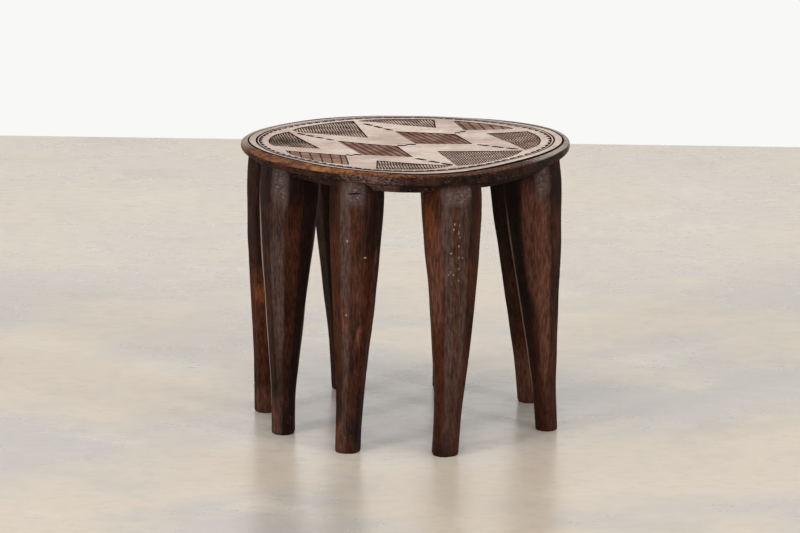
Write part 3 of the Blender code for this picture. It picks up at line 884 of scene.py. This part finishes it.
def hatched(x, y, lean, pitch, seed, spread):
    """Height share of hatching: two families of fine strokes that cross at a small angle.

    Each stroke's depth comes and goes along it, as the press of the tool does.
    """
    height = np.ones_like(x)
    for family, turn in enumerate((-math.radians(spread), math.radians(spread))):
        angle = lean + turn
        across = x * math.sin(angle) - y * math.cos(angle)
        along = x * math.cos(angle) + y * math.sin(angle)
        stray = HATCH_STRAY_SHARE * pitch * flat_lumps(x, y, 0.012, seed + family)
        line = np.floor((across + stray) / pitch)
        way = np.mod((across + stray) / pitch, 1.0)
        press = 0.75 + 0.35 * flat_lumps(along, line * 0.037, 0.022, seed + family + 3)
        depth = smooth(1.0 - np.abs(2.0 * way - 1.0), HATCH_CUT_SHARE, 0.0) * press
        height = np.minimum(height, 1.0 - depth)
    return height


PANEL_MARGIN = 0.0024
PANEL_OUTLINE = (0.0004, 0.0022)
PANEL_SKIN = 0.0009
PANEL_TUCK = 0.00012
RIB_STEP = 0.0005
HATCH_STEP = 0.00045
# Carving of each panel: kind, lean of its strokes in degrees, pitch and seed,
# the flatness power of its ribs or the spread of its two hatchings in degrees, and its stain.
CARVING = {
    "panel_left_middle": ("ribs", -69.0, 0.0090, 31, 3.6, "ribbed_stain"),
    "panel_right_middle": ("ribs", -68.0, 0.0080, 32, 3.4, "ribbed_stain"),
    "panel_rear_right": ("ribs", -80.0, 0.0120, 33, 5.5, "ribbed_pale_stain"),
    "panel_front_left": ("ribs", -87.0, 0.0125, 34, 7.0, "ribbed_pale_stain"),
    "panel_left": ("hatch", -79.0, 0.0034, 41, 1.5, "hatched_dark_stain"),
    "panel_rear_left": ("hatch", -80.0, 0.0037, 45, 3.0, "hatched_stain"),
    "panel_rear": ("hatch", -78.0, 0.0038, 49, 1.5, "hatched_stain"),
    "panel_right": ("hatch", -90.0, 0.0034, 53, 11.0, "hatched_red_stain"),
    "panel_front_right": ("hatch", -91.0, 0.0034, 57, 11.0, "hatched_stain"),
    "panel_front": ("hatch", -82.0, 0.0036, 61, 3.5, "hatched_stain"),
}
# Stains: the two tones of the crests and the tone of the cuts.
STAINS = {
    "ribbed_stain": ((100, 65, 52), (134, 100, 84), (40, 22, 16)),
    "ribbed_pale_stain": ((110, 80, 66), (142, 110, 93), (40, 24, 18)),
    "hatched_dark_stain": ((120, 95, 82), (158, 134, 119), (30, 19, 14)),
    "hatched_stain": ((153, 129, 115), (189, 166, 152), (38, 24, 18)),
    "hatched_red_stain": ((150, 116, 102), (188, 162, 146), (44, 26, 20)),
}
CREST_DEPTH = {"ribs": 0.00045, "hatch": 0.00050}
CARVED_DEPTH = 0.00135


def panel_floor(name, finishes):
    """One carved panel: a grid of points over its outline, sunk to its crests and its cuts.

    The grid runs along the strokes and across them. The height is the carving's
    share between the cut's depth and the crest's, and falls to the full depth
    along the outline. Cells beyond the margin under the straps are left out, and
    the same cells a skin's depth lower close the underside.
    """
    kind, lean, pitch, seed, form, stain = CARVING[name]
    lean = math.radians(lean)
    outline = panel_outline(name)
    axes = np.array(((math.cos(lean), math.sin(lean)), (math.sin(lean), -math.cos(lean))))
    along, across = axes @ outline.T
    step = RIB_STEP if kind == "ribs" else HATCH_STEP
    u = np.arange(along.min() - PANEL_MARGIN, along.max() + PANEL_MARGIN + step, step * 1.5)
    v = np.arange(across.min() - PANEL_MARGIN, across.max() + PANEL_MARGIN + step, step)
    grid_u, grid_v = np.meshgrid(u, v, indexing="ij")
    x = grid_u * axes[0, 0] + grid_v * axes[1, 0]
    y = grid_u * axes[0, 1] + grid_v * axes[1, 1]
    inside = edge_distance(x, y, outline)
    carve = ribbed if kind == "ribs" else hatched
    share = carve(x, y, lean, pitch, seed, form) * smooth(inside, *PANEL_OUTLINE)
    height = -CARVED_DEPTH + (CARVED_DEPTH - CREST_DEPTH[kind]) * share
    height = np.where(inside < 0.0, -STRAP_THICKNESS - PANEL_TUCK, height)
    upper = on_seat(x, y, height)
    lower = on_seat(x, y, np.full_like(x, -STRAP_THICKNESS - PANEL_SKIN))

    keep = inside > -PANEL_MARGIN
    cells = keep[:-1, :-1] & keep[1:, :-1] & keep[:-1, 1:] & keep[1:, 1:]
    number = np.arange(x.size).reshape(x.shape)
    corners = np.stack((number[:-1, :-1], number[1:, :-1], number[1:, 1:], number[:-1, 1:]), axis=-1)[cells]
    edges = np.concatenate([corners[:, pair] for pair in ((0, 1), (1, 2), (2, 3), (3, 0))])
    _, first, count = np.unique(np.sort(edges, axis=1), axis=0, return_index=True, return_counts=True)
    rim = edges[first[count == 1]]
    walls = np.stack((rim[:, 1], rim[:, 0], rim[:, 0] + x.size, rim[:, 1] + x.size), axis=-1)
    faces = np.concatenate((corners, corners[:, ::-1] + x.size, walls))
    used, packed = np.unique(faces, return_inverse=True)
    points = np.concatenate((upper.reshape(-1, 3), lower.reshape(-1, 3)))[used]
    mesh = new_mesh(name, points, packed.reshape(-1, 4).tolist())
    mark(mesh, "cut", np.concatenate((1.0 - share.ravel(), np.ones(x.size)))[used])
    piece = place_piece(name, mesh, finishes[stain], 60.0)
    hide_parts("seat")


def carved_finish(name, crest, rubbed_crest, cut_tone):
    """Stained carving: dark cuts, and crests of two tones in soft patches with fine dark grain."""
    finish = Finish(name)
    cut = finish.read("cut")
    mottle = finish.noise(70.0, (0.7, 1.0, 1.0), 4.0)
    grain = finish.noise(1.0, (60.0, 900.0, 200.0), 3.0)
    color = finish.coats(
        finish.blend(mottle, (0.36, 0.66), crest, rubbed_crest),
        (grain, (0.52, 0.76), 0.5, cut_tone),
        (cut, (0.12, 0.60), 1.0, cut_tone),
    )
    return finish.finished(
        Base_Color=color,
        Roughness=0.70 + 0.2 * cut,
        Normal=finish.bump(mottle + grain, 0.0002),
        Specular_IOR_Level=0.2)


# Legs, as the solids have them: name, top and foot angle in degrees, then
# shares of the foot circle, the top width, the foot width and the bow.
LEG_TOP_WIDTH = 0.074
LEG_FOOT_WIDTH = 0.031
LEG_INSET = 0.0080
FOOT_INSET = 0.028
LEG_BOW = 0.0040
LEGS = (
    ("leg_front_left", -111.2, -114.0, 0.986, 0.92, 1.04, 0.25),
    ("leg_front_right", -70.0, -74.6, 1.027, 1.02, 1.09, 1.30),
    ("leg_right_front", -13.8, -16.1, 1.037, 1.02, 0.925, 0.27),
    ("leg_right_rear", 31.4, 30.8, 1.044, 0.96, 0.975, 0.63),
    ("leg_rear_right", 71.0, 73.8, 1.016, 0.97, 0.98, -0.30),
    ("leg_rear_left", 122.6, 115.9, 1.035, 0.965, 1.00, 0.18),
    ("leg_left_rear", 175.5, 165.7, 1.025, 0.89, 1.05, 1.29),
    ("leg_left_front", -151.2, -155.3, 0.946, 1.02, 0.965, -1.16),
)
# Arrises of each leg, as direction in degrees and the share of painted sheen on
# the flat that follows, and one set for the legs at the back.
ARRISES = {
    "leg_front_left": ((-165, 0.05), (-126, 1.00), (-98, 0.42), (-66, 0.10), (-40, 0.0),
                       (0, 0.2), (45, 0.4), (90, 0.1), (140, 0.6)),
    "leg_front_right": ((-150, 0.0), (-112, 0.85), (-84, 0.80), (-48, 0.05), (-12, 0.1),
                        (30, 0.5), (75, 0.2), (120, 0.7), (165, 0.3)),
    "leg_right_front": ((-166, 0.0), (-116, 0.10), (-85, 0.60), (-52, 0.05), (-15, 0.1),
                        (25, 0.8), (65, 0.2), (105, 0.5), (145, 0.1)),
    "leg_left_front": ((-132, 1.00), (-92, 0.15), (-64, 0.0), (-25, 0.0), (15, 0.2),
                       (55, 0.5), (100, 0.1), (145, 0.3), (185, 0.0)),
    "back": ((-170, 0.1), (-128, 0.0), (-94, 0.20), (-58, 0.0), (-20, 0.1),
             (22, 0.7), (60, 0.3), (105, 0.8), (148, 0.4)),
}
# Places on the legs by kind: leg, direction in degrees, share of the height,
# then the half sizes in degrees and as a share of the height.
PATCHES = {
    "rubbed": (
        ("leg_front_left", -93, 0.960, 30, 0.060),
        ("leg_front_right", -81, 0.950, 33, 0.040),
        ("leg_front_right", -55, 0.965, 8, 0.020),
        ("leg_left_front", -110, 0.940, 24, 0.085),
        ("leg_right_front", -70, 0.950, 20, 0.075),
    ),
    # worn places that also carry a painted highlight
    "wear_and_highlight": (
        ("leg_front_right", -132, 0.700, 22, 0.220),
        ("leg_front_left", -136, 0.060, 24, 0.060),
        ("leg_front_left", -114, 0.510, 9, 0.060),
        ("leg_front_left", -71, 0.440, 8, 0.035),
        ("leg_left_front", -138, 0.055, 30, 0.080),
        ("leg_left_rear", -100, 0.050, 60, 0.060),
        ("leg_right_front", -92, 0.740, 34, 0.240),
        ("leg_right_front", -80, 0.400, 22, 0.250),
        ("leg_right_rear", -120, 0.100, 60, 0.120),
    ),
    "orange": (
        ("leg_front_right", -140, 0.865, 15, 0.090),
        ("leg_left_rear", -115, 0.485, 34, 0.042),
        ("leg_front_left", -28, 0.750, 9, 0.030),
    ),
    "shaded": (
        ("leg_left_front", -40, 0.500, 23, 0.620),
        ("leg_rear_left", -90, 0.500, 100, 0.620),
        ("leg_left_rear", -110, 0.880, 60, 0.180),
        ("leg_front_left", -150, 0.920, 20, 0.120),
        ("leg_right_front", -141, 0.620, 22, 0.420),
        ("leg_right_rear", -100, 0.900, 100, 0.300),
    ),
    # edge: a thin painted highlight down one arris of a leg
    "edge": (
        ("leg_left_front", -172, 0.500, 7, 0.480),
        ("leg_right_front", -164, 0.500, 6, 0.440),
    ),
}
LEG_TAPER_SHARES = (
    (0.00, 0.00), (0.10, 0.02), (0.20, 0.08), (0.30, 0.21), (0.40, 0.36), (0.50, 0.50),
    (0.60, 0.65), (0.70, 0.80), (0.80, 0.91), (0.88, 0.98), (0.95, 1.00), (1.00, 0.96),
)
CORNER_SHARE = 1.05
FLAT_TURN_WANDER = math.radians(4.0)
ARRIS_POWER = 60.0
ARRIS_EDGES = (0.965, 1.0)
LEG_ROWS = 190
LEG_COLUMNS = 160
SCOOP_SHARE_LENGTH = 0.13
SCOOP_SHARE = 0.028
FLAT_APART = 1.7
CHATTER_DEPTH = 0.0006
CHATTER_CELL = (0.0036, 0.0036, 0.0050)
TOOL_WAVE_DEPTH = 0.00025
TOOL_WAVE_CELL = (0.007, 0.007, 0.030)
DENT_DEPTH = 0.0016
DENT_CELL = (0.006, 0.006, 0.010)
FOOT_ROUNDING = 0.0016
# Painted sheen on the flats: its drift, its edges across the flat, and the heights where it grows
PAINTED_SHEEN_DRIFT = 0.30
PAINTED_SHEEN_EDGES = (1.40, 0.55)
PAINTED_SHEEN_HEIGHTS = (0.10, 0.55)


def smooth_taper(way):
    """Taper along the leg: the listed shares joined by cubic curves.

    The slope at each share is the mean of the slopes on its two sides.
    """
    heights, shares = np.array(LEG_TAPER_SHARES).T
    slopes = np.gradient(shares, heights)
    index = np.clip(np.searchsorted(heights, way) - 1, 0, len(heights) - 2)
    span = heights[index + 1] - heights[index]
    t = np.clip((way - heights[index]) / span, 0.0, 1.0)
    return ((2 * t ** 3 - 3 * t ** 2 + 1) * shares[index] + (t ** 3 - 2 * t ** 2 + t) * span * slopes[index]
            + (3 * t ** 2 - 2 * t ** 3) * shares[index + 1] + (t ** 3 - t ** 2) * span * slopes[index + 1])


def turned_from(angle, direction):
    """Turn in radians from a direction to each angle, between half a turn back and half a turn on."""
    return np.angle(np.exp(1j * (angle - direction)))


def flat_section(angle, share, arrises, seed):
    """Radius share, nearness to an arris and share of painted sheen of a hewn section.

    A flat spans the arc between two arrises. It is a line across the middle of
    the arc, and its direction and distance stray along the leg, as scoops of
    the tool. The radius is the soft least of the flats' distances along the
    direction: a sum of high powers. The painted sheen, a grey that stands for
    soft light reflected by the flat, is strongest along a line that drifts over
    its flat, and comes and goes with the height.
    """
    total, nearest, second, painted_sheen = np.zeros((4, *angle.shape))
    directions, painted_sheens = np.array(arrises).T
    corners = np.radians(directions)
    spans = np.diff(np.append(corners, corners[0] + 2 * np.pi))
    for index, (corner, span) in enumerate(zip(corners, spans)):
        apart = np.full_like(share, index * FLAT_APART)
        line = np.stack((share / SCOOP_SHARE_LENGTH, apart, np.full_like(share, 0.5)), axis=-1)
        facing = corner + span / 2 + FLAT_TURN_WANDER * lumps(line, 1.0, seed + 1)
        reach = CORNER_SHARE * math.cos(span / 2) * (1.0 + SCOOP_SHARE * (lumps(line, 1.0, seed) - 0.3))
        toward = np.maximum(np.cos(angle - facing), 0.0) / reach
        total += toward ** ARRIS_POWER
        turned = turned_from(angle, corner + span / 2) / (span / 2)
        across = np.abs(turned - PAINTED_SHEEN_DRIFT * lumps(line, 1.0, seed + 2))
        sheen = smooth(across, *PAINTED_SHEEN_EDGES) * (0.8 + 0.4 * lumps(line, 1.0, seed + 3))
        painted_sheen += painted_sheens[index] * sheen * toward ** ARRIS_POWER
        second = np.maximum(second, np.minimum(nearest, toward))
        nearest = np.maximum(nearest, toward)
    return total ** (-1.0 / ARRIS_POWER), smooth(second / nearest, *ARRIS_EDGES), painted_sheen / total


def soft_patches(patches, name, angle, share):
    """Sum of soft patches on a leg: bell curves of the direction and of the height's share."""
    total = np.zeros_like(angle)
    for leg, direction, middle, half_turn, half_share in patches:
        if leg == name:
            away = np.degrees(turned_from(angle, math.radians(direction))) / half_turn
            total += np.exp(-away ** 4) * np.exp(-((share - middle) / half_share) ** 4)
    return np.minimum(total, 1.0)


def hewn_leg(leg, seed, finish):
    """One leg: rings of a hewn section from the floor to the seat's underside.

    Each column runs up to the underside over it, less the joint's gap, so the
    shoulder is scribed. The ring's middle leans from the foot to the top along
    a bowed line, and its half width follows the taper.
    """
    name, top_angle, foot_angle, circle_share, width_share, foot_share, bow_share = leg
    top_turn, foot_turn = math.radians(top_angle), math.radians(foot_angle)
    foot_half = LEG_FOOT_WIDTH * foot_share / 2
    top_half = LEG_TOP_WIDTH * width_share / 2
    outwards = np.array((math.cos(foot_turn), math.sin(foot_turn)))
    sideways = np.array((-outwards[1], outwards[0]))
    foot = (SEAT_RADIUS - FOOT_INSET) * circle_share * outwards
    top = (SEAT_RADIUS - LEG_INSET - top_half) * np.array((math.cos(top_turn), math.sin(top_turn)))
    full = TOP_HEIGHT - RIM_BOTTOM
    column = np.arange(LEG_COLUMNS) * 2 * np.pi / LEG_COLUMNS
    level = np.concatenate(((0.0, 0.003, 0.009), np.linspace(0.016, 1.0, LEG_ROWS - 3)))
    share, angle = np.meshgrid(level, column, indexing="ij")
    radius, arris, painted_sheen = flat_section(angle, share[:, :1], ARRISES.get(name, ARRISES["back"]), seed)
    height = share * full
    for _ in range(3):
        way = np.clip(height / full, 0.0, 1.0)
        half = foot_half + (top_half - foot_half) * smooth_taper(way)
        reach = half * radius
        bow = 4 * LEG_BOW * bow_share * way * (1 - way)
        middle = foot + (top - foot) * way[..., None] + bow[..., None] * sideways
        x = middle[..., 0] + reach * np.cos(angle)
        y = middle[..., 1] + reach * np.sin(angle)
        height = share * (underside_height(x[-1], y[-1]) - JOINT_GAP)

    places = np.stack((x, y, height), axis=-1)
    # Masks of each kind of patch: marks of wear and colour, and painted light and shade
    wear_and_light_patches = {kind: soft_patches(patches, name, angle, share) for kind, patches in PATCHES.items()}
    inset = CHATTER_DEPTH * wear_and_light_patches["rubbed"] * smooth(lumps(places, CHATTER_CELL, seed + 9), -0.5, 0.6)
    inset += TOOL_WAVE_DEPTH * (1.0 + lumps(places, TOOL_WAVE_CELL, seed + 5))
    inset += DENT_DEPTH * np.maximum(0.0, lumps(places, DENT_CELL, seed + 6) - 0.70)
    inset += FOOT_ROUNDING * (1.0 - smooth(height, -0.001, 0.0030))
    shrink = 1.0 - inset / np.maximum(reach, 0.001)
    places[..., :2] = middle + (places[..., :2] - middle) * shrink[..., None]
    ends = np.array(((*foot, 0.0), (*top, underside_height(*top) - JOINT_GAP)))
    points = np.concatenate((places.reshape(-1, 3), ends))
    mesh = new_mesh(name + "_hewn", points, sleeve_faces(*angle.shape))
    # The painted sheen is weaker low on the leg.
    painted_sheen = painted_sheen * (0.72 + 0.28 * smooth(share, *PAINTED_SHEEN_HEIGHTS))
    for label, values in {"arris": arris, "painted_sheen": painted_sheen, **wear_and_light_patches}.items():
        mark(mesh, label, np.append(values.ravel(), (0.0, 0.0)))
    piece = place_piece(name + "_hewn", mesh, finish, 50.0)
    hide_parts(name)


# Camera and stage
CAMERA_PLACE = (-0.0068, -5.7687, 1.4624)
CAMERA_DIP = math.radians(12.32)
CAMERA_LENS = 206.3
SENSOR_WIDTH = 36.0
WALL_DISTANCE = 1.929
WALL_SLANT = 0.078
ROOM_HALF = 7.0
ROOM_HEIGHT = 5.0
WALL_HALF = 1.6
ROOM_STRENGTH = 0.62
ROOM_COLOR = (1.0, 0.99, 0.975, 1.0)
BACKDROP = (248, 248, 247)
WALL_RAYS = ("Is Camera Ray", "Is Glossy Ray", "Is Transmission Ray")
# Lamps: name, place, height over the origin of the point that each faces, width, power
LAMPS = (
    ("window_left", (-2.9, -2.8, 1.5), 0.2, 0.50, 57.0),
    ("window_right", (2.8, -2.5, 1.5), 0.2, 0.42, 44.0),
    ("ceiling", (-0.3, -0.9, 4.2), 0.3, 2.4, 83.0),
)


def set_camera():
    data = bpy.data.cameras.new("camera")
    data.lens = CAMERA_LENS
    data.sensor_width = SENSOR_WIDTH
    camera = add_object("camera", data)
    camera.location = CAMERA_PLACE
    camera.rotation_euler = (math.pi / 2 - CAMERA_DIP, 0.0, 0.0)
    bpy.context.scene.camera = camera


def soft_lamp(name, place, target_height, width, power):
    """A round lamp that faces a point over the origin. Reflections leave it out, so that it never glares."""
    data = bpy.data.lights.new(name, "AREA")
    data.shape = "DISK"
    data.size = width
    data.energy = power
    lamp = add_object(name, data)
    lamp.location = place
    lamp.visible_glossy = False
    x, y, z = place
    lamp.rotation_euler = (math.atan2(math.hypot(x, y), z - target_height), 0.0, math.atan2(x, -y))


def stage_sheet(name, corners, finish):
    mesh = bpy.data.meshes.new(name)
    mesh.from_pydata(corners, [], [tuple(range(len(corners)))])
    mesh.materials.append(finish)
    sheet = add_object(name, mesh)


def floor_finish():
    """Pale polished concrete: grey and sandy clouds, stains, painted light towards the wall, and a painted
    pool of light under the stool that lifts its shadow.
    """
    finish = Finish("pale_floor")
    x, y, _ = finish.axes()
    cloud = finish.noise(1.9, (0.8, 1.0, 1.0), 7.0, roughness=0.62)
    stain = finish.noise(5.0, (0.7, 1.0, 1.0), 6.0, roughness=0.65)
    fine = finish.noise(70.0, (0.6, 1.0, 1.0), 4.0, roughness=0.65)
    color = finish.coats(
        finish.blend(cloud, (0.42, 0.56), (172, 166, 159), (192, 178, 160)),
        # painted light: the floor lighter towards the wall
        (y, (0.5, 1.2), 0.6, (206, 194, 179)),
        # painted light: a lighter pool under the stool, lifting its shadow
        (x * x + y * y, (0.10, 0.01), 0.7, (208, 201, 193)),
        (stain, (0.52, 0.72), 0.40, (158, 150, 141)),
        (stain, (0.46, 0.30), 0.35, (212, 204, 192)),
        (fine, (0.46, 0.70), 0.42, (166, 156, 145)),
    )
    return finish.finished(Base_Color=color, Roughness=0.20 + 0.16 * cloud)


def wall_finish():
    """White wall: plain white seen directly or in a gloss, and white paint for the room's light.

    From behind it is clear, so that it never hides the stool.
    """
    finish = Finish("white_wall")
    finish.finished(Base_Color=tone(245, 245, 244), Roughness=0.8)
    camera, gloss, through = [finish.node("ShaderNodeLightPath", out=ray) for ray in WALL_RAYS]
    seen = finish.maths("MINIMUM", camera + gloss + through, 1.0)
    glow = finish.node("ShaderNodeEmission", {}, {"Color": tone(*BACKDROP), "Strength": 1.0})
    paint = Wire(finish, finish.shader.outputs[0])
    front = finish.node("ShaderNodeMixShader", {}, {0: seen, 1: paint, 2: glow})
    behind = finish.node("ShaderNodeNewGeometry", out="Backfacing")
    clear = finish.node("ShaderNodeBsdfTransparent")
    surface = finish.node("ShaderNodeMixShader", {}, {0: behind, 1: front, 2: clear})
    finish.feed(finish.tree.nodes["Material Output"].inputs["Surface"], surface)
    return finish.material


def room_light():
    """World: soft light from all round, and plain white where the camera looks past the wall."""
    world = bpy.data.worlds.new("room")
    world.use_nodes = True
    room = Nodes(world.node_tree)
    light = room.tree.nodes["Background"]
    light.inputs["Color"].default_value = ROOM_COLOR
    light.inputs["Strength"].default_value = ROOM_STRENGTH
    white = room.node("ShaderNodeBackground", {}, {"Color": tone(*BACKDROP)})
    seen = room.node("ShaderNodeLightPath", out="Is Camera Ray")
    surface = room.node("ShaderNodeMixShader", {}, {0: seen, 1: Wire(room, light.outputs[0]), 2: white})
    room.feed(room.tree.nodes["World Output"].inputs["Surface"], surface)
    bpy.context.scene.world = world


def wall_line(x, height=0.0):
    """A point of the wall's plane, which runs at a slight slant."""
    return (x, WALL_DISTANCE - WALL_SLANT * x, height)


def build_room():
    near = [(-ROOM_HALF, -ROOM_HALF, 0.0), (ROOM_HALF, -ROOM_HALF, 0.0)]
    stage_sheet("floor", near + [wall_line(ROOM_HALF), wall_line(-ROOM_HALF)], floor_finish())
    foot = [wall_line(-WALL_HALF), wall_line(WALL_HALF)]
    top = [wall_line(WALL_HALF, ROOM_HEIGHT), wall_line(-WALL_HALF, ROOM_HEIGHT)]
    stage_sheet("wall", foot + top, wall_finish())
    room_light()
    for lamp in LAMPS:
        soft_lamp(*lamp)


def build_stool():
    seat_board(board_finish())
    field_straps(scrubbed_finish())
    stains = {name: carved_finish(name, *tones) for name, tones in STAINS.items()}
    for name in CARVING:
        panel_floor(name, stains)
    wood = leg_finish("leg_wood")
    for index, leg in enumerate(LEGS):
        hewn_leg(leg, 100 + 20 * index, wood)


bpy.context.scene.view_settings.view_transform = "Standard"
set_camera()
build_room()
build_stool()
